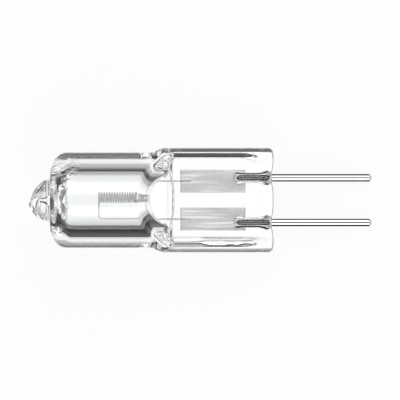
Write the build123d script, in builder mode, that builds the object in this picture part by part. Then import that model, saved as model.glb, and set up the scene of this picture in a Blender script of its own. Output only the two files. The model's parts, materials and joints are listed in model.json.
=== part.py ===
from build123d import *
from math import asin, atan2, cos, degrees, hypot, pi, radians, sin, tan
import os

# A low-voltage halogen capsule with two straight pins, in millimetres.
# Along the lamp, from the exhaust tip to the pins, is u. Across the pressed seal is v, and
# through its thickness is w. Stations on u are counted from the end of the seal that the pins
# leave, so the glass lies at negative u.

# Round tube and dome of the quartz envelope
tube_diameter = 8.55
tube_wall = 1.6
tube_length = 6.6
dome_corner_radius = 1.45
dome_crown_radius = 30.0
dome_wall = 1.0
hollow_corner_radius = 1.0

# Exhaust tip, drawn off the dome and sealed a little to one side
tip_length = 1.8
tip_base_diameter = 3.75
tip_end_diameter = 0.55
tip_end_rounding = 0.2
tip_rings = 6
tip_skew = 0.38
tip_fullness = 2.2
tip_taper = 0.75
tip_root = 0.4
tip_bore_diameter = 1.1
tip_bore_end_diameter = 0.2
tip_bore_length = 1.5

# Neck and pressed seal
jaw_angle = 44.5
jaw_corner_radius = 0.6
seal_length = 9.25
seal_width = 9.36
seal_thickness = 3.4
seal_rounding = 0.45
flare_setback = 0.65
flare_length = 1.5
flare_steps = 4
pocket_depth = 0.3
pocket_wall_slope = 0.45
pocket_corner_radius = 0.9
pocket_side_rim = 0.5
pocket_end_rim = 0.6
pocket_neck_rim = 0.15
scallop_radius = 1.6
scallop_depth = 0.18

# Contact pins
pin_diameter = 0.7
pin_spacing = 4.0
pin_protrusion = 8.8
pin_rounding = 0.28
plating_thickness = 0.015
plating_start = 0.1
plating_runout = 0.8
pin_weld_length = 0.75
pin_weld_flat = 0.05
capillary_clearance = 0.11
capillary_end_gap = 0.3
capillary_mouth_diameter = 1.8
capillary_flare_length = 1.3

# Molybdenum foils
foil_length = 5.8
foil_width = 2.05
foil_thickness = 0.03
foil_spacing = 3.4
foil_setback = 0.95

# Tungsten filament
wire_diameter = 0.12
coil_diameter = 0.92
coil_spacing = 0.23
coil_length = 3.67
coil_setback = 2.67
coil_rise = 0.25
leg_spacing = 3.4
leg_bend_radius = 0.3
leg_relief_radius = 0.8
leg_weld_length = 0.9
leg_weld_flat = 0.01

# Hollow of the bulb, pinched to a thin edge inside the neck
hollow_reach = 0.4
hollow_end_gap = 0.16
hollow_end_bulge = 0.55

# How far a cutting form runs past the glass
cut_reach = 1.0

# Values worked out from the sizes above
tube_radius = tube_diameter / 2
hollow_radius = tube_radius - tube_wall
seal_half = seal_thickness / 2
neck_length = (tube_radius - seal_half) / tan(radians(jaw_angle))
seal_start = -seal_length
neck_start = seal_start - neck_length
tube_start = neck_start - tube_length
flare_start = neck_start + flare_setback
pin_radius = pin_diameter / 2
bare_pin_radius = pin_radius - plating_thickness
foil_top = pin_weld_flat - bare_pin_radius
foil_bottom = foil_top - foil_thickness
capillary_radius = bare_pin_radius + capillary_clearance
foil_inner_end = seal_start + foil_setback
foil_outer_end = foil_inner_end + foil_length
pin_inner_end = foil_outer_end - pin_weld_length
capillary_inner_end = pin_inner_end - capillary_end_gap
wire_radius = wire_diameter / 2
leg_level = foil_top + wire_radius - leg_weld_flat
coil_radius = coil_diameter / 2 - wire_radius
coil_pitch = coil_length / round(coil_length / coil_spacing)
coil_end = seal_start - coil_setback
coil_start = coil_end - coil_length
leg_end = foil_inner_end + leg_weld_length
sides = {"upper": 1, "lower": -1}

# Dome outline: a wide crown arc that runs into the corner arc
crown_turn = degrees(asin((tube_radius - dome_corner_radius) / (dome_crown_radius - dome_corner_radius)))
crown_centre = tube_start + (dome_crown_radius - dome_corner_radius) * cos(radians(crown_turn))
dome_front = crown_centre - dome_crown_radius
hollow_front = dome_front + dome_wall
hollow_end = seal_start + hollow_reach
pocket_length = seal_length - pocket_end_rim - pocket_neck_rim
pocket_width = seal_width - 2 * pocket_side_rim

# The lamp lies on the shoulder under its neck and on the ends of both pins. The floor touches
# the shoulder's arc and the rounding of the pins' ends, which gives the slope of the lamp.
shoulder_station = neck_start - seal_rounding * tan(radians(jaw_angle / 2))
shoulder_level = seal_rounding - tube_radius
pin_end_station = pin_protrusion - pin_rounding
pin_end_level = pin_rounding - pin_radius
rest_run = pin_end_station - shoulder_station
rest_rise = pin_end_level - shoulder_level
rest_tilt = atan2(rest_rise, rest_run) + asin((seal_rounding - pin_rounding) / hypot(rest_run, rest_rise))
lamp_height = shoulder_station * sin(rest_tilt) - shoulder_level * cos(rest_tilt) + seal_rounding
tip_end = dome_front - tip_length
pin_reach = pin_end_station * cos(rest_tilt) - pin_end_level * sin(rest_tilt) + pin_rounding
tip_reach = (tip_end + tip_end_rounding) * cos(rest_tilt) - tip_end_rounding
lamp_origin = (-(pin_reach + tip_reach) / 2, 0, lamp_height)

# Planes of the lamp: flat on the seal, the side view, and square across at a station
lamp = Plane(
    origin=lamp_origin,
    x_dir=(cos(rest_tilt), 0, -sin(rest_tilt)),
    z_dir=(sin(rest_tilt), 0, cos(rest_tilt)),
)
side = Plane(origin=lamp.origin, x_dir=lamp.x_dir, z_dir=-lamp.y_dir)
lamp_axis = Axis(lamp.origin, lamp.x_dir)


def across(station):
    return Plane(origin=lamp.from_local_coords((station, 0, 0)), x_dir=lamp.y_dir, z_dir=lamp.x_dir)


def beside(hand):
    pin_axis_point = lamp.from_local_coords((0, hand * pin_spacing / 2, 0))
    return Plane(origin=pin_axis_point, x_dir=lamp.x_dir, z_dir=-lamp.y_dir)


def make_foil(hand):
    with BuildPart() as foil:
        with BuildSketch(lamp.offset(foil_bottom)):
            with Locations(((foil_inner_end + foil_outer_end) / 2, hand * foil_spacing / 2)):
                Rectangle(foil_length, foil_width)
        extrude(amount=foil_thickness)
    return foil


def make_pin(hand):
    # Only the free length is plated, and the plating thins out in the mouth of the seal
    with BuildPart() as pin:
        with BuildSketch(beside(hand)) as profile:
            with BuildLine():
                Polyline(
                    (pin_inner_end, 0),
                    (pin_inner_end, bare_pin_radius),
                    (plating_start - plating_runout, bare_pin_radius),
                    (plating_start, pin_radius),
                    (pin_protrusion, pin_radius),
                    (pin_protrusion, 0),
                    close=True,
                )
            make_face()
            for end in (0, -1):
                fillet(profile.vertices().group_by(Axis.X)[end].sort_by(Axis.Y)[-1], pin_rounding)
        revolve(axis=Axis(beside(hand).origin, lamp.x_dir))
        # The side that is welded to the foil is pressed flat
        with BuildSketch(lamp.offset(foil_top)):
            with Locations((pin_inner_end + pin_weld_length / 2, hand * pin_spacing / 2)):
                Rectangle(pin_weld_length, pin_diameter)
        extrude(amount=-pin_weld_flat, mode=Mode.SUBTRACT)
    return pin


foils = {name: make_foil(hand) for name, hand in sides.items()}
pins = {name: make_pin(hand) for name, hand in sides.items()}

# Filament: a helix whose two ends run into bent legs, all at the level of the foils
coil_lead = degrees(atan2(coil_pitch, 2 * pi * coil_radius))
coil_plane = Plane(
    origin=lamp.from_local_coords((coil_start, coil_rise, leg_level + coil_radius)),
    x_dir=-lamp.z_dir,
    z_dir=lamp.x_dir,
)
coil_line = coil_plane * Helix(coil_pitch, coil_length, coil_radius)
leg_plane = lamp.offset(leg_level)
leg_side = leg_spacing / 2

with BuildPart() as filament:
    # The wire's round section is two half circles, which leave a seam on each side of the coil
    with BuildSketch(Plane(origin=coil_line @ 0, z_dir=coil_line % 0)):
        with BuildLine():
            CenterArc((0, 0), wire_radius, 0, 180)
            CenterArc((0, 0), wire_radius, 180, 180)
        make_face()
    sweep(path=coil_line, is_frenet=True)
    # The lower leg leaves the first turn and the upper leg leaves the last one
    for station, hand in ((coil_start, -1), (coil_end, 1)):
        heading = (hand * sin(radians(coil_lead)), hand * cos(radians(coil_lead)))
        upright = station + hand * leg_relief_radius * (1 - cos(radians(coil_lead)))
        bend_start = (upright, hand * (leg_side - leg_bend_radius))
        with BuildLine(leg_plane) as leg:
            relief = JernArc((station, coil_rise), heading, leg_relief_radius, coil_lead)
            Line(relief @ 1, bend_start)
            bend = JernArc(bend_start, (0, hand), leg_bend_radius, -hand * 90)
            Line(bend @ 1, (leg_end, hand * leg_side))
        with BuildSketch(Plane(origin=leg.line @ 0, z_dir=leg.line % 0)):
            Circle(wire_radius)
        sweep(path=leg.line)
    # Each leg is pressed flat where it is welded to its foil
    with BuildSketch(lamp.offset(foil_top)):
        with Locations(((foil_inner_end + leg_end) / 2, 0)):
            with GridLocations(1, leg_spacing, 1, 2):
                Rectangle(leg_weld_length, wire_diameter)
    extrude(amount=-leg_weld_flat, mode=Mode.SUBTRACT)

# Shape that the jaws leave: sloped shoulders above and below, then the two flats of the seal
blank_reach = tube_radius + cut_reach
slope_run = (blank_reach - seal_half) / tan(radians(jaw_angle))
with BuildPart() as jaws:
    with BuildSketch(side) as jaw_profile:
        with BuildLine():
            Polyline(
                (tip_end - cut_reach, 0),
                (tip_end - cut_reach, blank_reach),
                (seal_start - slope_run, blank_reach),
                (seal_start, seal_half),
                (0, seal_half),
                (0, 0),
            )
            mirror(about=Plane.XZ)
        make_face()
        fillet(jaw_profile.vertices().group_by(Axis.X)[2], jaw_corner_radius)
    extrude(amount=seal_width, both=True)

# Hollow of the bulb: round, then squeezed by the same jaws to a thin curved edge in the neck
with BuildPart() as hollow:
    with BuildSketch(side) as hollow_profile:
        with BuildLine():
            Polyline(
                (hollow_front, 0),
                (hollow_front, hollow_radius),
                (hollow_end, hollow_radius),
                (hollow_end, 0),
                close=True,
            )
        make_face()
        front_corner = hollow_profile.vertices().group_by(Axis.X)[0].sort_by(Axis.Y)[-1]
        fillet(front_corner, hollow_corner_radius)
    revolve(axis=lamp_axis)
    with BuildSketch(side):
        with BuildLine():
            Polyline(
                (hollow_front, 0),
                (hollow_front, hollow_radius),
                (neck_start, hollow_radius),
                (hollow_end, hollow_end_gap / 2),
                (hollow_end, 0),
            )
            mirror(about=Plane.XZ)
        make_face()
    extrude(amount=hollow_radius, both=True, mode=Mode.INTERSECT)
    with BuildSketch(lamp):
        with BuildLine():
            ThreePointArc(
                (hollow_end - hollow_end_bulge, -hollow_radius),
                (hollow_end, 0),
                (hollow_end - hollow_end_bulge, hollow_radius),
            )
            Polyline(
                (hollow_end - hollow_end_bulge, hollow_radius),
                (hollow_front, hollow_radius),
                (hollow_front, -hollow_radius),
                (hollow_end - hollow_end_bulge, -hollow_radius),
            )
        make_face()
    extrude(amount=hollow_radius, both=True, mode=Mode.INTERSECT)
    # Narrow bore that runs on into the exhaust tip
    with BuildSketch(side):
        with BuildLine():
            Polyline(
                (hollow_front + hollow_corner_radius, 0),
                (hollow_front + hollow_corner_radius, tip_bore_diameter / 2),
                (hollow_front, tip_bore_diameter / 2),
                (hollow_front - tip_bore_length, tip_bore_end_diameter / 2),
                (hollow_front - tip_bore_length, 0),
                close=True,
            )
        make_face()
    revolve(axis=lamp_axis)

# Quartz envelope, one piece of glass
with BuildPart() as envelope:
    # Round tube with its flat dome, turned about the lamp's axis
    with BuildSketch(side):
        with BuildLine():
            CenterArc((crown_centre, 0), dome_crown_radius, 180, -crown_turn)
            corner_centre = (tube_start, tube_radius - dome_corner_radius)
            CenterArc(corner_centre, dome_corner_radius, 180 - crown_turn, crown_turn - 90)
            Polyline(
                (tube_start, tube_radius),
                (flare_start, tube_radius),
                (flare_start, 0),
                (dome_front, 0),
            )
        make_face()
    revolve(axis=lamp_axis)
    # The pressed glass spreads sideways from the tube's width to the seal's
    for step in range(flare_steps + 1):
        share = (1 - cos(pi * step / flare_steps)) / 2
        with BuildSketch(across(flare_start + flare_length * step / flare_steps)):
            Ellipse(tube_radius + (seal_width / 2 - tube_radius) * share, tube_radius)
    loft()
    with BuildSketch(across(flare_start + flare_length)):
        Ellipse(seal_width / 2, tube_radius)
    extrude(amount=-flare_start - flare_length)
    add(jaws.part, mode=Mode.INTERSECT)
    # Every edge that the jaws leave is softened by the flame
    seal_end = envelope.faces().sort_by(lamp_axis)[-1]
    jaw_marks = envelope.faces().filter_by(GeomType.PLANE).edges().filter_by(Axis.Y, reverse=True)
    fillet(jaw_marks + seal_end.edges(), seal_rounding)
    # The exhaust tip swells from the dome and is drawn to one side where it was sealed
    with BuildSketch(across(dome_front + tip_root)):
        Circle(tip_base_diameter / 2)
    for step in range(tip_rings):
        share = step / tip_rings
        with BuildSketch(across(dome_front - tip_length * share)):
            with Locations((-tip_skew * share**2, 0)):
                Circle(tip_base_diameter / 2 * (1 - share**tip_fullness) ** tip_taper)
    with BuildSketch(across(tip_end)):
        with Locations((-tip_skew, 0)):
            Circle(tip_end_diameter / 2)
    loft()
    fillet(envelope.edges().sort_by(lamp_axis)[0], tip_end_rounding)
    # Shallow pressed pockets on both faces of the seal, with sloped walls
    for face in (1, -1):
        for level, inset in ((seal_half, 0), (seal_half - pocket_depth, pocket_wall_slope)):
            with BuildSketch(lamp.offset(face * level)):
                with Locations((-(pocket_end_rim + seal_length - pocket_neck_rim) / 2, 0)):
                    RectangleRounded(
                        pocket_length - 2 * inset, pocket_width - 2 * inset, pocket_corner_radius - inset
                    )
        loft(mode=Mode.SUBTRACT)
    # The glass draws back a little round each pin
    with BuildSketch(lamp):
        with Locations((scallop_radius - scallop_depth, 0)):
            with GridLocations(1, pin_spacing, 1, 2):
                Circle(scallop_radius)
    extrude(amount=seal_thickness, both=True, mode=Mode.SUBTRACT)
    add(hollow.part, mode=Mode.SUBTRACT)
    # The glass stays clear of each pin: the capillary round it is closed and round at its inner
    # end, past the weld on the foil, and opens like a trumpet at the end of the seal
    for hand in sides.values():
        with BuildSketch(beside(hand)):
            with BuildLine():
                round_end = capillary_inner_end + capillary_radius
                CenterArc((round_end, 0), capillary_radius, 90, 90)
                Line((round_end, capillary_radius), (-capillary_flare_length, capillary_radius))
                mouth = (-scallop_depth, capillary_mouth_diameter / 2)
                TangentArc((-capillary_flare_length, capillary_radius), mouth, tangent=(1, 0))
                Polyline(mouth, (cut_reach, mouth[1]), (cut_reach, 0), (capillary_inner_end, 0))
            make_face()
        revolve(axis=Axis(beside(hand).origin, lamp.x_dir), mode=Mode.SUBTRACT)
    # The glass grips the foils and the ends of the legs
    for foil in foils.values():
        add(foil.part, mode=Mode.SUBTRACT)
    with BuildSketch(across(leg_end)):
        with Locations((0, leg_level)):
            with GridLocations(leg_spacing, 1, 2, 1):
                Circle(wire_radius)
    extrude(amount=neck_start - leg_end, mode=Mode.SUBTRACT)

envelope.part.label = "envelope"
filament.part.label = "filament"
os.makedirs("parts", exist_ok=True)
export_step(envelope.part, "parts/envelope.step")
export_step(filament.part, "parts/filament.step")
for name in sides:
    foils[name].part.label = "foil_" + name
    pins[name].part.label = "pin_" + name
    export_step(foils[name].part, "parts/foil_" + name + ".step")
    export_step(pins[name].part, "parts/pin_" + name + ".step")
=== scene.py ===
import json
import math
import bmesh
import bpy
import numpy as np
from mathutils import Matrix, Vector, noise


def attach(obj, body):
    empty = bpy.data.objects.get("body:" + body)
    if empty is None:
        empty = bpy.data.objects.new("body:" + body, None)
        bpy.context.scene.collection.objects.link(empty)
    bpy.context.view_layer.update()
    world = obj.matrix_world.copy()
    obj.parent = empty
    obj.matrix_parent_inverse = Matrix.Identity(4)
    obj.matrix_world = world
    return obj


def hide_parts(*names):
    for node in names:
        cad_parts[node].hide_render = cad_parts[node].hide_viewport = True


# A clear quartz halogen capsule. Lengths of the lamp are in millimetres and Blender's are in metres.
# Along the lamp, from the exhaust tip to the pins, is u. Across the pressed seal is v, and through
# its thickness is w. Stations on u are counted from the end of the seal that the pins leave.

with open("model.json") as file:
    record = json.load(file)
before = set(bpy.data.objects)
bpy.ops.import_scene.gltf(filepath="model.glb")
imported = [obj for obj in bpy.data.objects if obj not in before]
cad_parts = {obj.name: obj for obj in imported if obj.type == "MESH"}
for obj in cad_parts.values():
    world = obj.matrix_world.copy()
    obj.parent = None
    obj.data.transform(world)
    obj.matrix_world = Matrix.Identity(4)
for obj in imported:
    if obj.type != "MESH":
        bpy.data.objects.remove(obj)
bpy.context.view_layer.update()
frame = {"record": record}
MM = 0.001
TINY = 1e-9

# Tube and dome
TUBE_RADIUS = 4.275
TUBE_LENGTH = 6.6
DOME_CORNER = 1.45
DOME_CROWN = 30.0
DOME_WALL = 1.0

# Exhaust tip and the end of its bore
TIP_LENGTH = 1.8
TIP_RADIUS = 1.875
TIP_SKEW = 0.38
TIP_FULLNESS = 2.2
TIP_TAPER = 0.75
TIP_ROOT = 0.2
TIP_STEPS = 30
TIP_BORE_RADIUS = 0.55
TIP_BORE_END_RADIUS = 0.12
TIP_BORE_LENGTH = 1.5

# Neck and seal. The jaws' edges are softer in the neck, and the seal spreads beyond the tube's width
JAW_ANGLE = math.radians(44.5)
JAW_CORNER = 0.6
SEAL_LENGTH = 9.25
SEAL_WIDTH = 9.36
SEAL_HALF = 1.7
SEAL_ROUNDING = 0.45
FLARE_SETBACK = 0.65
FLARE_LENGTH = 1.5
EDGE_BLEND = 0.25
NECK_EXTRA_BLEND = 0.3
NECK_BLEND_REACH = 1.5
SCALLOP_DEPTH = 0.2
SCALLOP_WIDTH = 0.8
SCALLOP_REACH = 1.6
NECK_MARGIN = 0.6
SEAL_MARGIN = 1.2
CAP_ROWS = 12
SHARP_ANGLE = math.radians(50)

# Pressed pockets of the seal. They run out into the neck, where they have no rim
POCKET_DEPTH = 0.3
POCKET_WALL_RUN = 0.42
POCKET_END_STEEPNESS = 0.35
POCKET_CORNER = 0.9
POCKET_SIDE_RIM = 0.5
POCKET_END_RIM = 0.6
POCKET_NECK_RIM = -0.5
POCKET_BLEND = 0.06

# The lower pin's side of the pockets, which was pressed unevenly and has a crease
UNEVEN_STATION = -4.5
UNEVEN_REACH = 1.9
UNEVEN_RUN = 0.3
UNEVEN_RIPPLE_RUN = 0.12
UNEVEN_RIPPLES_PER_MM = 2.2
UNEVEN_SEED = 7.0
CREASE_ACROSS = 3.3
CREASE_DEPTH = 0.1
CREASE_WIDTH = 0.06

# Hollow of the bulb, which the neck squeezes to a thin edge
HOLLOW_RADIUS = 2.62
HOLLOW_SHIFT = -0.02
HOLLOW_CORNER = 1.0
HOLLOW_END = -8.85
HOLLOW_END_GAP = 0.16
HOLLOW_END_BULGE = 0.55
HOLLOW_SPREAD = 0.15
HOLLOW_EDGE_BLEND = 0.15
BORE_MOUTH_STEP = 0.1
HOLLOW_NECK_MARGIN = 0.4

# Lumps inside the dome, which rise behind its front and fade along the tube and towards the lower pin
LUMP_REACH = 2.2
LUMP_HEIGHT = 0.09
LUMPS_PER_MM = 4.5
LUMP_GAP = 0.15
LUMP_RISE = 0.4
LUMP_SIDE = -2.8
LUMP_SIDE_RISE = 3.6
LUMP_LEAN = 0.6
FINE_LUMP_SHARE = 0.5
FINE_LUMP_RATIO = 2.3
LUMP_MARGIN = 0.4

# Pins and their capillaries. Nickel reaches a little way into the glass, and beyond it the wire is painted
# dark grey as shade; the mount starts outside the glass
PIN_SPACING = 4.0
PIN_RADIUS = 0.35
PIN_PROTRUSION = 8.8
PIN_INNER_END = -3.25
PIN_ROUNDING = 0.28
PIN_END_STEP = 0.5
MOUNT_START = 0.1
PLATING_REACH = 0.4
PLATING_FADE = 0.1
CAPILLARY_RADIUS = 0.46
CAPILLARY_SWELL = 0.08
CAPILLARY_SWELL_REACH = 0.7
CAPILLARY_INNER_END = -3.55
CAPILLARY_ROUND_END = 0.3
MOUTH_RADIUS = 0.9
MOUTH_LENGTH = 1.3
MOUTH_OVERRUN = 0.6
MOUTH_WIDEST = 1.3

# Foils
FOIL_LENGTH = 5.8
FOIL_WIDTH = 2.05
FOIL_THICKNESS = 0.03
FOIL_THINNING = 0.85
FOIL_SPACING = 3.4
FOIL_INNER_END = -8.3
FOIL_LEVEL = -0.315
FOIL_WAVE = 0.05
FOIL_WAVES_ALONG = 0.35
FOIL_WAVES_ACROSS = 2.5
FOIL_SEED = 3.0

# Filament
WIRE_RADIUS = 0.06
COIL_RADIUS = 0.4
COIL_START = -15.59
COIL_END = -11.92
COIL_TURNS = 16
COIL_RISE = 0.25
LEG_SPACING = 3.4
LEG_BEND = 0.3
LEG_END = -7.4
LEG_LEVEL = -0.25

# Stations that follow from the sizes
NECK_START = -SEAL_LENGTH - (TUBE_RADIUS - SEAL_HALF) / math.tan(JAW_ANGLE)
TUBE_START = NECK_START - TUBE_LENGTH
CROWN_TURN = math.asin((TUBE_RADIUS - DOME_CORNER) / (DOME_CROWN - DOME_CORNER))
CROWN_CENTRE = TUBE_START + (DOME_CROWN - DOME_CORNER) * math.cos(CROWN_TURN)
DOME_FRONT = CROWN_CENTRE - DOME_CROWN
FLARE_START = NECK_START + FLARE_SETBACK
HOLLOW_FRONT = DOME_FRONT + DOME_WALL
SQUEEZE_START = HOLLOW_END - (HOLLOW_RADIUS - HOLLOW_END_GAP / 2) / math.tan(JAW_ANGLE)
END_ARC_START = HOLLOW_END - HOLLOW_END_BULGE
END_ARC_RADIUS = (HOLLOW_RADIUS ** 2 + HOLLOW_END_BULGE ** 2) / (2 * HOLLOW_END_BULGE)

# The lamp's own axes, from the mount of the upper pin
pin_mount = next(m for m in frame["record"]["mounts"] if m["name"] == "pin_upper")
along = Vector(pin_mount["axis"]).normalized()
crosswise = Vector((0, 1, 0))
through = along.cross(crosswise)
mount_station = MOUNT_START + pin_mount["dims"]["length_mm"] / 2
lamp_start = Vector(pin_mount["pos_m"]) - along * mount_station * MM
lamp_start.y = 0
row_axes = np.array([along, crosswise, through])


def in_row(points):
    """Points (u, v, w) of the lamp, in millimetres, as points of the row frame in metres."""
    return np.asarray(points, float) @ row_axes * MM + np.array(lamp_start)


def srgb(code):
    """A hex sRGB colour as the linear RGBA that a shader socket takes."""
    parts = [int(code[i:i + 2], 16) / 255 for i in (1, 3, 5)]
    return [c / 12.92 if c <= 0.04045 else ((c + 0.055) / 1.055) ** 2.4 for c in parts] + [1]


def add_node(tree, kind, inputs=None, **settings):
    """Adds a node, sets its properties, and fills its sockets with values or links."""
    node = tree.nodes.new(kind)
    for name, value in settings.items():
        setattr(node, name, value)
    for name, value in (inputs or {}).items():
        socket = node.inputs[name]
        if isinstance(value, bpy.types.NodeSocket):
            tree.links.new(value, socket)
        else:
            socket.default_value = value
    return node


def new_material(name):
    material = bpy.data.materials.new(name)
    material.use_nodes = True
    tree = material.node_tree
    tree.nodes.clear()
    return material, tree


def fused_quartz():
    """Fused quartz, drawn as tube and pressed hot: water clear, with faint ripples a millimetre long."""
    ripple_size = 1.111
    ripple_height = 0.02
    material, tree = new_material("fused_quartz_drawn")
    place = add_node(tree, "ShaderNodeTexCoord")
    ripple = add_node(tree, "ShaderNodeTexNoise", {
        "Vector": place.outputs["Object"], "Scale": 1 / (ripple_size * MM), "Detail": 2,
    })
    bump = add_node(tree, "ShaderNodeBump", {
        "Height": ripple.outputs["Fac"], "Strength": 0.03, "Distance": ripple_height * MM,
    })
    glass = add_node(tree, "ShaderNodeBsdfPrincipled", {
        "Base Color": srgb("#FCFDFD"),
        "Roughness": 0.0,
        "IOR": 1.458,
        "Transmission Weight": 1.0,
        "Normal": bump.outputs["Normal"],
    })
    add_node(tree, "ShaderNodeOutputMaterial", {"Surface": glass.outputs["BSDF"]})
    return material


def metal(name, colour, roughness, grain_size, grain_depth):
    """A bare metal with a fine grain, whose size and depth are in millimetres."""
    material, tree = new_material(name)
    place = add_node(tree, "ShaderNodeTexCoord")
    grain = add_node(tree, "ShaderNodeTexNoise", {
        "Vector": place.outputs["Object"], "Scale": 1 / (grain_size * MM), "Detail": 3,
    })
    bump = add_node(tree, "ShaderNodeBump", {
        "Height": grain.outputs["Fac"], "Strength": 0.3, "Distance": grain_depth * MM,
    })
    shader = add_node(tree, "ShaderNodeBsdfPrincipled", {
        "Base Color": srgb(colour),
        "Metallic": 1.0,
        "Roughness": roughness,
        "Normal": bump.outputs["Normal"],
    })
    add_node(tree, "ShaderNodeOutputMaterial", {"Surface": shader.outputs["BSDF"]})
    return material


def plated_pin_painted_shade():
    """Nickel plating, bright outside the glass; inside it bare wire, rougher and painted dark grey as the
    shade of the capillary round it.
    """
    material, tree = new_material("plated_pin_painted_shade")
    place = add_node(tree, "ShaderNodeTexCoord")
    station = add_node(tree, "ShaderNodeVectorMath", {0: place.outputs["Object"], 1: along},
                       operation="DOT_PRODUCT")
    edge = along.dot(lamp_start) - PLATING_REACH * MM
    over_edge = {"Value": station.outputs["Value"], "From Min": edge, "From Max": edge + PLATING_FADE * MM}
    plating_and_shade = add_node(tree, "ShaderNodeMapRange", over_edge)
    roughness = add_node(tree, "ShaderNodeMapRange", {**over_edge, "To Min": 0.25, "To Max": 0.04})
    # Inside the glass the wire is painted dark grey: painted shade of the capillary round it
    colour = add_node(tree, "ShaderNodeMixRGB", {
        0: plating_and_shade.outputs["Result"], 1: srgb("#6C6C70"), 2: srgb("#E2E2E1"),
    })
    shader = add_node(tree, "ShaderNodeBsdfPrincipled", {
        "Base Color": colour.outputs[0], "Metallic": 1.0, "Roughness": roughness.outputs["Result"],
    })
    add_node(tree, "ShaderNodeOutputMaterial", {"Surface": shader.outputs["BSDF"]})
    return material


quartz = fused_quartz()
# Tungsten drawn to fine wire and left matt by its heat, so that the coil looks pale
tungsten = metal("tungsten_drawn_wire", "#F8F8F7", 0.8, 0.02, 0.002)
# Molybdenum rolled to foil: a satin grey sheet
molybdenum = metal("molybdenum_rolled_foil", "#FAFAF9", 0.46, 0.05, 0.002)
pin_metal = plated_pin_painted_shade()


def new_piece(name, points, faces, material):
    mesh = bpy.data.meshes.new(name)
    mesh.from_pydata(in_row(points).tolist(), [], faces)
    mesh.materials.append(material)
    piece = bpy.data.objects.new(name, mesh)
    bpy.context.scene.collection.objects.link(piece)
    for polygon in mesh.polygons:
        polygon.use_smooth = True
    return piece


def between_rings(count, around):
    """Quads between neighbouring rings of points, each ring closed on itself."""
    faces = []
    for ring in range(count - 1):
        here, beyond = ring * around, (ring + 1) * around
        for j in range(around):
            k = (j + 1) % around
            faces.append((here + j, here + k, beyond + k, beyond + j))
    return faces


def turned(faces):
    """The same faces looking the other way."""
    return [face[::-1] for face in faces]


def fan(centre, ring, around):
    """Triangles from one point to the ring of points before it along the lamp."""
    return [(centre, ring + j, ring + (j + 1) % around) for j in range(around)]


def closed_shell(rings, first, last):
    """Points and outward faces of rings in order along the lamp, closed to a point at each end."""
    around = len(rings[0])
    points = np.concatenate([*rings, [first], [last]])
    faces = between_rings(len(rings), around)
    faces += turned(fan(len(points) - 2, 0, around))
    faces += fan(len(points) - 1, (len(rings) - 1) * around, around)
    return points, faces


def ease(share):
    """A smooth rise from 0 to 1 as share goes from 0 to 1, and level beyond."""
    share = np.clip(share, 0, 1)
    return share * share * (3 - 2 * share)


def hump(distance, reach, power=2):
    """A smooth hump of height 1, by the distance from its middle."""
    return np.exp(-((distance / reach) ** power))


def lower_of(a, b, blend):
    """The lower of two heights, with the corner between them rounded."""
    return np.minimum(a, b) - np.maximum(blend - np.abs(a - b), 0) ** 2 / (4 * blend)


def higher_of(a, b, blend):
    return -lower_of(-np.asarray(a, float), -np.asarray(b, float), blend)


def steps(start, end, count):
    """The ends of equal steps from start to end."""
    return np.linspace(start, end, count + 1)[1:]


def full_turn(stretches):
    """Angles all the way round, from stretches (start, end, steps) in degrees that fill a quarter turn."""
    quarter = np.radians([
        angle for start, end, count in stretches for angle in np.linspace(start, end, count, endpoint=False)
    ])
    half = np.concatenate([quarter, [math.pi / 2], math.pi - quarter[:0:-1]])
    return np.concatenate([half, half + math.pi])


def circle_ring(u, radius, offset, angles):
    return np.stack([np.full_like(angles, u), offset + radius * np.cos(angles), radius * np.sin(angles)], 1)


def pressed(radius, face, blend, free, angles):
    """Heights round a circle that is pressed flat at a face on both sides, less so where it is free."""
    sines = np.sin(angles)
    heights = lower_of(radius * np.abs(sines), face + blend / 4 * free, blend) * np.sign(sines)
    return np.where(np.abs(sines) < TINY, 0, heights)


# The skin's angles are closest together where the jaws' faces meet the round sides, and the hollow's
# where its squeezed section turns sharply
skin_angles = full_turn(((0, 20, 13), (20, 50, 50), (50, 90, 25)))
hollow_angles = full_turn(((0, 10, 10), (10, 90, 36)))
SKIN_AROUND = len(skin_angles)


def half_width(u):
    """Half the width across the seal, which spreads beyond the tube's in the neck."""
    spread = ease((u - FLARE_START) / FLARE_LENGTH)
    return TUBE_RADIUS + (SEAL_WIDTH / 2 - TUBE_RADIUS) * spread


def jaw_height(u):
    """Height of the face that the jaws press, over the middle plane of the seal."""
    slope = SEAL_HALF + (-SEAL_LENGTH - u) * math.tan(JAW_ANGLE)
    return higher_of(SEAL_HALF, slope, JAW_CORNER * math.tan(JAW_ANGLE))


def pocket(u, v):
    """Depth of the shallow pressed pocket at a point of the seal's face."""
    half_u = (SEAL_LENGTH - POCKET_END_RIM - POCKET_NECK_RIM) / 2
    half_v = SEAL_WIDTH / 2 - POCKET_SIDE_RIM
    from_middle = u + POCKET_END_RIM + half_u
    # The wall towards the pins is gentler than the others
    steepness = POCKET_END_STEEPNESS if from_middle > 0 else 1
    du = (abs(from_middle) - half_u) * steepness + POCKET_CORNER
    dv = np.abs(v) - half_v + POCKET_CORNER
    outside = np.hypot(np.maximum(du, 0), np.maximum(dv, 0)) - POCKET_CORNER
    outside += np.minimum(np.maximum(du, dv), 0)
    # The lower pin's side is gentler half way along
    gentle = np.where(v < 0, hump(u - UNEVEN_STATION, UNEVEN_REACH, 4), 0)
    ripple = np.array([
        noise.noise(Vector((u * UNEVEN_RIPPLES_PER_MM, across * UNEVEN_RIPPLES_PER_MM, UNEVEN_SEED)))
        for across in v
    ])
    fall = POCKET_DEPTH / (POCKET_WALL_RUN + gentle * (UNEVEN_RUN + UNEVEN_RIPPLE_RUN * ripple))
    depth = higher_of(lower_of(-outside * fall, POCKET_DEPTH, POCKET_BLEND), 0, POCKET_BLEND)
    crease = CREASE_DEPTH * hump(v + CREASE_ACROSS, CREASE_WIDTH)
    return depth + crease * ease(depth / POCKET_DEPTH)


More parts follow.
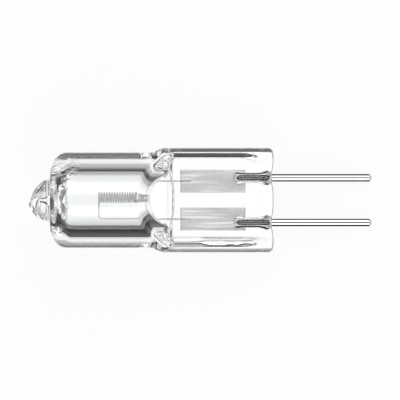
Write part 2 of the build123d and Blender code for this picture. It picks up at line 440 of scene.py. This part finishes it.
def scallop(v):
    """How far the seal's end draws back round each pin."""
    return SCALLOP_DEPTH * hump(np.abs(v) - PIN_SPACING / 2, SCALLOP_WIDTH)


def seal_ring(u, inset):
    """A ring of the skin of the tube, neck or seal, drawn in by inset where the seal's end is rounded."""
    v = (half_width(u) - inset) * np.cos(skin_angles)
    face = jaw_height(u) - inset - pocket(u, v)
    blend = EDGE_BLEND + NECK_EXTRA_BLEND * ease((-SEAL_LENGTH - u) / NECK_BLEND_REACH)
    w = pressed(TUBE_RADIUS - inset, face, blend, u < NECK_START, skin_angles)
    back = scallop(v) * ease((u + SCALLOP_REACH) / SCALLOP_REACH)
    return np.stack([u - back, v, w], 1)


def tip_and_dome_rings():
    """Rings from the closed end of the exhaust tip over its root, the wide crown and the dome's corner."""
    rings = []
    root_share = TIP_ROOT / TIP_LENGTH
    for step in range(1, TIP_STEPS + 1):
        share = 1 - (1 - root_share) * (step / TIP_STEPS) ** 2
        radius = TIP_RADIUS * (1 - share ** TIP_FULLNESS) ** TIP_TAPER
        u = DOME_FRONT - TIP_LENGTH * share
        rings.append(circle_ring(u, radius, -TIP_SKEW * share ** 2, skin_angles))
    for turn in steps(0, math.pi / 2, 6):
        u = DOME_FRONT - TIP_ROOT * (1 - math.sin(turn))
        rings.append(circle_ring(u, TIP_RADIUS + TIP_ROOT * (1 - math.cos(turn)), 0, skin_angles))
    for radius in steps(TIP_RADIUS + TIP_ROOT, TUBE_RADIUS - DOME_CORNER, 7):
        u = CROWN_CENTRE - math.sqrt(DOME_CROWN ** 2 - radius ** 2)
        rings.append(circle_ring(u, radius, 0, skin_angles))
    for turn in steps(CROWN_TURN, math.pi / 2, 21):
        radius = TUBE_RADIUS - DOME_CORNER + DOME_CORNER * math.sin(turn)
        rings.append(circle_ring(TUBE_START - DOME_CORNER * math.cos(turn), radius, 0, skin_angles))
    return rings


def tube_and_seal_rings():
    """Rings of the tube, the neck and the seal, closest together in the neck, and of the rounded end."""
    stretches = (
        (TUBE_START, NECK_START - NECK_MARGIN, 20),
        (NECK_START - NECK_MARGIN, -SEAL_LENGTH + SEAL_MARGIN, 56),
        (-SEAL_LENGTH + SEAL_MARGIN, -SCALLOP_REACH, 40),
        (-SCALLOP_REACH, -SEAL_ROUNDING, 14),
    )
    rings = [seal_ring(u, 0) for stretch in stretches for u in steps(*stretch)]
    for turn in steps(0, math.pi / 2, 8):
        inset = SEAL_ROUNDING * (1 - math.cos(turn))
        rings.append(seal_ring(SEAL_ROUNDING * (math.sin(turn) - 1), inset))
    return rings


def seal_end_cap(points, ring):
    """Points and faces of the seal's end, in columns from the last ring's upper half to its lower half."""
    half = SKIN_AROUND // 2
    inner = []
    columns = [[ring]]
    for j in range(1, half):
        upper, lower = ring + j, ring + SKIN_AROUND - j
        column = [upper]
        for row in range(1, CAP_ROWS):
            column.append(len(points) + len(inner))
            inner.append(points[upper] + (points[lower] - points[upper]) * row / CAP_ROWS)
        columns.append(column + [lower])
    columns.append([ring + half])
    faces = []
    for left, right in zip(columns, columns[1:]):
        for row in range(CAP_ROWS):
            if len(left) == 1:
                faces.append((left[0], right[row], right[row + 1]))
            elif len(right) == 1:
                faces.append((right[0], left[row + 1], left[row]))
            else:
                faces.append((left[row], right[row], right[row + 1], left[row + 1]))
    return inner, faces


def skin_mesh():
    """The closed outer skin, with a pole at the tip and a gridded cap at the seal's end."""
    rings = tip_and_dome_rings() + tube_and_seal_rings()
    pole = [DOME_FRONT - TIP_LENGTH, -TIP_SKEW, 0]
    points = np.concatenate([*rings, [pole]])
    faces = between_rings(len(rings), SKIN_AROUND)
    faces += turned(fan(len(points) - 1, 0, SKIN_AROUND))
    cap_points, cap_faces = seal_end_cap(points, (len(rings) - 1) * SKIN_AROUND)
    return np.concatenate([points, cap_points]), faces + cap_faces


def lumpy(ring):
    """Lets the inside of the dome run in small lumps, as it does where the exhaust tube is closed."""
    moved = ring.copy()
    for i, (u, v, w) in enumerate(ring):
        fading = ease((HOLLOW_FRONT + LUMP_REACH - u) / LUMP_REACH)
        rising = ease((u - HOLLOW_FRONT - LUMP_GAP) / LUMP_RISE)
        reach = float(fading * rising)
        side = float(ease((v - LUMP_SIDE) / LUMP_SIDE_RISE))
        if reach * side <= 0:
            continue
        place = Vector((u, v, w))
        fine = noise.noise(place * LUMPS_PER_MM * FINE_LUMP_RATIO)
        lump = noise.noise(place * LUMPS_PER_MM) + FINE_LUMP_SHARE * fine
        outward = Vector((-LUMP_LEAN, v, w)).normalized()
        moved[i] = place + outward * LUMP_HEIGHT * lump * reach * side
    return moved


def hollow_front_rings():
    """Round rings of the hollow: the end of the exhaust bore, the flat front and its corner."""
    profile = []
    for share in np.linspace(0, 1, 12):
        radius = TIP_BORE_END_RADIUS + (TIP_BORE_RADIUS - TIP_BORE_END_RADIUS) * share
        profile.append((HOLLOW_FRONT - TIP_BORE_LENGTH * (1 - share), radius))
    for radius in np.linspace(TIP_BORE_RADIUS + BORE_MOUTH_STEP, HOLLOW_RADIUS - HOLLOW_CORNER, 12):
        profile.append((HOLLOW_FRONT, radius))
    for turn in steps(0, math.pi / 2, 13):
        u = HOLLOW_FRONT + HOLLOW_CORNER * (1 - math.cos(turn))
        profile.append((u, HOLLOW_RADIUS - HOLLOW_CORNER * (1 - math.sin(turn))))
    return [circle_ring(u, radius, HOLLOW_SHIFT, hollow_angles) for u, radius in profile]


def hollow_ring(u):
    """A ring of the hollow, flat above and below where the neck squeezes it, with an arc for its end."""
    share = min((HOLLOW_END - u) / (HOLLOW_END - SQUEEZE_START), 1)
    face = HOLLOW_END_GAP / 2 + (HOLLOW_RADIUS - HOLLOW_END_GAP / 2) * share
    width = HOLLOW_RADIUS + HOLLOW_SPREAD * ease(1 - 2 * share)
    if u > END_ARC_START:
        from_centre = END_ARC_RADIUS - HOLLOW_END + u
        width *= math.sqrt(max(END_ARC_RADIUS ** 2 - from_centre ** 2, 0.0)) / HOLLOW_RADIUS
    w = pressed(HOLLOW_RADIUS, face, min(HOLLOW_EDGE_BLEND, face / 2), share >= 1, hollow_angles)
    return np.stack([np.full_like(hollow_angles, u), HOLLOW_SHIFT + width * np.cos(hollow_angles), w], 1)


def hollow_mesh():
    """The hollow of the bulb, closed, with its faces turned into the hollow."""
    lumps_end = HOLLOW_FRONT + (LUMP_REACH + LUMP_MARGIN)
    neck = NECK_START - HOLLOW_NECK_MARGIN
    stretches = (
        (HOLLOW_FRONT + HOLLOW_CORNER, lumps_end, 17),
        (lumps_end, neck, 9),
        (neck, END_ARC_START, 41),
    )
    stations = [u for stretch in stretches for u in steps(*stretch)]
    stations += [HOLLOW_END - HOLLOW_END_BULGE * math.cos(turn) for turn in steps(0, math.pi / 2, 15)[:-1]]
    rings = hollow_front_rings() + [hollow_ring(u) for u in stations]
    ends = ([HOLLOW_FRONT - TIP_BORE_LENGTH, HOLLOW_SHIFT, 0], [HOLLOW_END, HOLLOW_SHIFT, 0])
    points, faces = closed_shell([lumpy(ring) for ring in rings], *ends)
    return points, turned(faces)


def capillary_mesh(hand):
    """The fine bore round a pin, which opens like a trumpet at the end of the seal."""
    angles = np.linspace(0, 2 * math.pi, 72, endpoint=False)
    profile = []
    for turn in steps(0, math.pi / 2, 9):
        u = CAPILLARY_INNER_END + CAPILLARY_ROUND_END * (1 - math.cos(turn))
        profile.append((u, (CAPILLARY_RADIUS + CAPILLARY_SWELL) * math.sin(turn)))
    start = profile[-1][0]
    for u in steps(start, -MOUTH_LENGTH, 13):
        swell = CAPILLARY_SWELL * (1 - ease((u - start) / CAPILLARY_SWELL_REACH))
        profile.append((u, CAPILLARY_RADIUS + swell))
    for u in steps(-MOUTH_LENGTH, MOUTH_OVERRUN, 17):
        share = min((u + MOUTH_LENGTH) / (MOUTH_LENGTH - SCALLOP_DEPTH), MOUTH_WIDEST)
        profile.append((u, CAPILLARY_RADIUS + (MOUTH_RADIUS - CAPILLARY_RADIUS) * share ** 2))
    centre = hand * PIN_SPACING / 2
    rings = [circle_ring(u, radius, centre, angles) for u, radius in profile]
    return closed_shell(rings, [CAPILLARY_INNER_END, centre, 0], [profile[-1][0], centre, 0])


def make_envelope():
    """The skin with the capillaries cut out of it, and the closed hollow inside."""
    envelope = new_piece("quartz_envelope", *skin_mesh(), quartz)
    for hand in (1, -1):
        cutter = new_piece("capillary_cutter", *capillary_mesh(hand), quartz)
        cut = envelope.modifiers.new("capillary", "BOOLEAN")
        cut.operation = "DIFFERENCE"
        cut.solver = "EXACT"
        cut.object = cutter
    shaped = envelope.evaluated_get(bpy.context.evaluated_depsgraph_get())
    skin = bpy.data.meshes.new_from_object(shaped)
    for cut in list(envelope.modifiers):
        cutter = cut.object
        envelope.modifiers.remove(cut)
        bpy.data.objects.remove(cutter)
    hollow = new_piece("hollow", *hollow_mesh(), quartz)
    joined = bmesh.new()
    joined.from_mesh(skin)
    joined.from_mesh(hollow.data)
    bpy.data.objects.remove(hollow)
    joined.to_mesh(envelope.data)
    joined.free()
    envelope.data.set_sharp_from_angle(angle=SHARP_ANGLE)
    return envelope


def make_pin(name, hand):
    """A round wire with rounded ends."""
    angles = np.linspace(0, 2 * math.pi, 64, endpoint=False)
    rounded = [
        (PIN_ROUNDING * (1 - math.cos(turn)), PIN_RADIUS - PIN_ROUNDING * (1 - math.sin(turn)))
        for turn in steps(0, math.pi / 2, 7)
    ]
    profile = [(PIN_INNER_END + depth, radius) for depth, radius in rounded]
    profile += [(u, PIN_RADIUS)
                for u in np.linspace(PIN_INNER_END + PIN_END_STEP, PIN_PROTRUSION - PIN_END_STEP, 40)]
    profile += [(PIN_PROTRUSION - depth, radius) for depth, radius in reversed(rounded)]
    centre = hand * PIN_SPACING / 2
    rings = [circle_ring(u, radius, centre, angles) for u, radius in profile]
    shell = closed_shell(rings, [PIN_INNER_END, centre, 0], [PIN_PROTRUSION, centre, 0])
    return new_piece("contact_pin_" + name, *shell, pin_metal)


def make_foil(name, hand):
    """A rolled strip with slight waves, thinned towards its long edges."""
    long_steps, cross_steps = 60, 44
    points = []
    for side in (1, -1):
        for i in range(long_steps + 1):
            for j in range(cross_steps + 1):
                across = 2 * j / cross_steps - 1
                u = FOIL_INNER_END + FOIL_LENGTH * i / long_steps
                v = hand * FOIL_SPACING / 2 + FOIL_WIDTH / 2 * across
                half_thickness = FOIL_THICKNESS / 2 * (1 - FOIL_THINNING * abs(across) ** 3)
                place = Vector((u * FOIL_WAVES_ALONG, v * FOIL_WAVES_ACROSS, FOIL_SEED * hand))
                wave = FOIL_WAVE * noise.noise(place)
                points.append((u, v, FOIL_LEVEL + wave + side * half_thickness))
    row = cross_steps + 1
    sheet = (long_steps + 1) * row
    faces = []
    for i in range(long_steps):
        for j in range(cross_steps):
            a = i * row + j
            faces.append((a, a + row, a + row + 1, a + 1))
            faces.append((sheet + a, sheet + a + 1, sheet + a + row + 1, sheet + a + row))
    for i in range(long_steps):
        for j, flip in ((0, False), (cross_steps, True)):
            a = i * row + j
            edge = (a, sheet + a, sheet + a + row, a + row)
            faces.append(edge[::-1] if flip else edge)
    for j in range(cross_steps):
        for i, flip in ((0, True), (long_steps, False)):
            a = i * row + j
            edge = (a, sheet + a, sheet + a + 1, a + 1)
            faces.append(edge[::-1] if flip else edge)
    return new_piece("seal_foil_" + name, points, faces, molybdenum)


def wire_path():
    """Middle line of the wire: lower leg, coil and upper leg."""
    side = LEG_SPACING / 2
    bend = [(LEG_BEND * (1 - math.sin(turn)), LEG_BEND * (1 - math.cos(turn)))
            for turn in np.linspace(0, math.pi / 2, 8)]
    path = [(u, -side, LEG_LEVEL) for u in np.linspace(LEG_END, COIL_START + 2 * LEG_BEND, 24)]
    path += [(COIL_START + back, -side + inward, LEG_LEVEL) for back, inward in bend]
    per_turn = 36
    coil_steps = COIL_TURNS * per_turn
    for step in range(coil_steps + 1):
        turn = 2 * math.pi * step / per_turn
        u = COIL_START + (COIL_END - COIL_START) * step / coil_steps
        w = LEG_LEVEL + COIL_RADIUS * (1 - math.cos(turn))
        path.append((u, COIL_RISE + COIL_RADIUS * math.sin(turn), w))
    path += [(COIL_END + back, side - inward, LEG_LEVEL) for back, inward in reversed(bend)]
    path += [(u, side, LEG_LEVEL) for u in np.linspace(COIL_END + 2 * LEG_BEND, LEG_END, 16)]
    return [Vector(point) for point in path]


def make_filament():
    """The wire's round section carried along its middle line without twist."""
    path = wire_path()
    angles = np.linspace(0, 2 * math.pi, 12, endpoint=False)
    normal = Vector((0, 0, 1))
    rings = []
    for i, point in enumerate(path):
        heading = (path[min(i + 1, len(path) - 1)] - path[max(i - 1, 0)]).normalized()
        normal = (normal - heading * normal.dot(heading)).normalized()
        binormal = heading.cross(normal)
        rings.append(np.array([
            point + (normal * math.cos(angle) + binormal * math.sin(angle)) * WIRE_RADIUS
            for angle in angles
        ]))
    return new_piece("tungsten_filament", *closed_shell(rings, path[0], path[-1]), tungsten)


def settle(piece, node):
    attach(piece, "root")
    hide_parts(node)


settle(make_envelope(), "envelope")
settle(make_filament(), "filament")
for name, hand in (("upper", 1), ("lower", -1)):
    settle(make_foil(name, hand), "foil_" + name)
    settle(make_pin(name, hand), "pin_" + name)

# Studio: a pale table, and a sky whose brightness depends on the direction
FLOOR_SIZE = 0.6
# Share of plain white in what the camera sees of the table
TABLE_GLOW = 0.92


def pale_table():
    """A matt white table that is bright to the camera and keeps the lamp's shadow.

    It is clear to glass and metal, so that they show the sky below it.
    """
    material, tree = new_material("matt_white_table")
    path = add_node(tree, "ShaderNodeLightPath")
    share = add_node(tree, "ShaderNodeMath", {0: path.outputs["Is Camera Ray"], 1: TABLE_GLOW},
                     operation="MULTIPLY")
    matt = add_node(tree, "ShaderNodeBsdfDiffuse", {"Color": srgb("#F2F2F2")})
    white = add_node(tree, "ShaderNodeEmission", {"Color": srgb("#FFFFFF"), "Strength": 1.0})
    top = add_node(tree, "ShaderNodeMixShader", {
        0: share.outputs[0], 1: matt.outputs["BSDF"], 2: white.outputs["Emission"],
    })
    through_glass = add_node(tree, "ShaderNodeMath", {
        0: path.outputs["Is Transmission Ray"], 1: path.outputs["Is Glossy Ray"],
    }, operation="MAXIMUM")
    clear = add_node(tree, "ShaderNodeBsdfTransparent")
    mix = add_node(tree, "ShaderNodeMixShader", {
        0: through_glass.outputs[0], 1: top.outputs["Shader"], 2: clear.outputs["BSDF"],
    })
    add_node(tree, "ShaderNodeOutputMaterial", {"Surface": mix.outputs["Shader"]})
    return material


table_mesh = bpy.data.meshes.new("table")
corner = FLOOR_SIZE / 2
table_corners = [(-corner, -corner, 0), (corner, -corner, 0), (corner, corner, 0), (-corner, corner, 0)]
table_mesh.from_pydata(table_corners, [], [(0, 1, 2, 3)])
table_mesh.materials.append(pale_table())
table = bpy.data.objects.new("table", table_mesh)
bpy.context.scene.collection.objects.link(table)

# Brightness of the surroundings across the lamp, by the angle in degrees from straight under it,
# which is positive on the side of the upper pin
SURROUND = (
    (-180, 0.1), (-162, 0.1), (-154, 2.3), (-128, 2.3), (-118, 1.2), (-110, 1.0), (-106, 0.04),
    (-74, 0.03), (-62, 0.03), (-52, 0.04), (-38, 0.09), (-32, 0.07), (-27, 0.04), (-23, 0.68),
    (-12, 0.88), (0, 1.08), (24, 0.9), (29, 0.62), (33, 0.5), (38, 0.55), (45, 0.5), (53, 0.3),
    (62, 0.07), (112, 0.06), (120, 2.0), (140, 2.3), (160, 2.2), (167, 0.08), (180, 0.08),
)
# Brightness towards the two ends, by the cosine of the angle from the way the pins point
ENDS = (
    (-1, 1.1), (-0.9, 1.1), (-0.84, 0.06), (-0.45, 0.06), (0.0, 1.1),
    (0.7, 1.1), (0.76, 0.06), (0.88, 0.06), (0.93, 1.1), (1, 1.1),
)
# The ends' brightness takes over between these cosines, to either side
ENDS_FROM = 0.3
ENDS_TO = 0.6
BRIGHTEST = 3.0


def set_stops(ramp, levels, lowest, highest):
    """Gives a ramp a stop for each place between lowest and highest, as grey as it is bright there."""
    stops = ramp.color_ramp.elements
    while len(stops) < len(levels):
        stops.new(0.5)
    for stop, (place, brightness) in zip(stops, levels):
        stop.position = (place - lowest) / (highest - lowest)
        grey = brightness / BRIGHTEST
        stop.color = (grey, grey, grey, 1)


def studio_sky():
    """Light from above and below, with dark flags along both sides and over the lamp, and round both ends.

    The glass bends these into dark bands along the tube and the seal. The camera itself sees plain white.
    """
    world = bpy.data.worlds.new("studio")
    bpy.context.scene.world = world
    world.use_nodes = True
    tree = world.node_tree
    tree.nodes.clear()
    place = add_node(tree, "ShaderNodeTexCoord")
    endways, sideways, downwards = [
        add_node(tree, "ShaderNodeVectorMath", {0: place.outputs["Generated"], 1: axis},
                 operation="DOT_PRODUCT").outputs["Value"]
        for axis in (along, crosswise, -through)
    ]
    angle = add_node(tree, "ShaderNodeMath", {0: sideways, 1: downwards}, operation="ARCTAN2")
    round_lamp = add_node(tree, "ShaderNodeMapRange", {
        "Value": angle.outputs[0], "From Min": -math.pi, "From Max": math.pi,
    })
    surround = add_node(tree, "ShaderNodeValToRGB", {"Fac": round_lamp.outputs["Result"]})
    set_stops(surround, SURROUND, -180, 180)
    towards_pins = add_node(tree, "ShaderNodeMapRange", {"Value": endways, "From Min": -1})
    ends = add_node(tree, "ShaderNodeValToRGB", {"Fac": towards_pins.outputs["Result"]})
    set_stops(ends, ENDS, -1, 1)
    off_middle = add_node(tree, "ShaderNodeMath", {0: endways}, operation="ABSOLUTE")
    to_ends = add_node(tree, "ShaderNodeMapRange", {
        "Value": off_middle.outputs[0], "From Min": ENDS_FROM, "From Max": ENDS_TO,
    }, interpolation_type="SMOOTHSTEP")
    colour = add_node(tree, "ShaderNodeMixRGB", {
        0: to_ends.outputs["Result"], 1: surround.outputs["Color"], 2: ends.outputs["Color"],
    })
    sky = add_node(tree, "ShaderNodeBackground", {"Color": colour.outputs[0], "Strength": BRIGHTEST})
    plain = add_node(tree, "ShaderNodeBackground", {"Color": srgb("#FFFFFF"), "Strength": 1.0})
    path = add_node(tree, "ShaderNodeLightPath")
    mix = add_node(tree, "ShaderNodeMixShader", {
        0: path.outputs["Is Camera Ray"], 1: sky.outputs["Background"], 2: plain.outputs["Background"],
    })
    add_node(tree, "ShaderNodeOutputWorld", {"Surface": mix.outputs["Shader"]})


studio_sky()

# Camera: straight over the seal and far off, so that the lamp shows without perspective
MM_PER_PIXEL = 0.0895
FRAME_PIXELS = 400
FRAME_CENTRE = (200, 200)
SEAL_END_PIXEL = 273.2
AXIS_PIXEL = 200.1
LENS = 300
SENSOR = 36

camera_data = bpy.data.cameras.new("camera")
camera_data.lens = LENS
camera_data.sensor_width = SENSOR
camera_data.clip_start = 0.01
camera_data.clip_end = 5
camera = bpy.data.objects.new("camera", camera_data)
bpy.context.scene.collection.objects.link(camera)
aim = ((FRAME_CENTRE[0] - SEAL_END_PIXEL) * MM_PER_PIXEL, (AXIS_PIXEL - FRAME_CENTRE[1]) * MM_PER_PIXEL, 0)
distance = FRAME_PIXELS * MM_PER_PIXEL * MM * LENS / SENSOR
camera.location = Vector(in_row([aim])[0]) + through * distance
camera.rotation_mode = "QUATERNION"
camera.rotation_quaternion = Matrix((along, crosswise, through)).transposed().to_quaternion()
bpy.context.scene.camera = camera
bpy.context.scene.view_settings.view_transform = "Standard"

# Light passes many walls of glass on its way
BOUNCES = 40
bpy.context.scene.cycles.max_bounces = BOUNCES
bpy.context.scene.cycles.transmission_bounces = BOUNCES
bpy.context.scene.cycles.glossy_bounces = BOUNCES
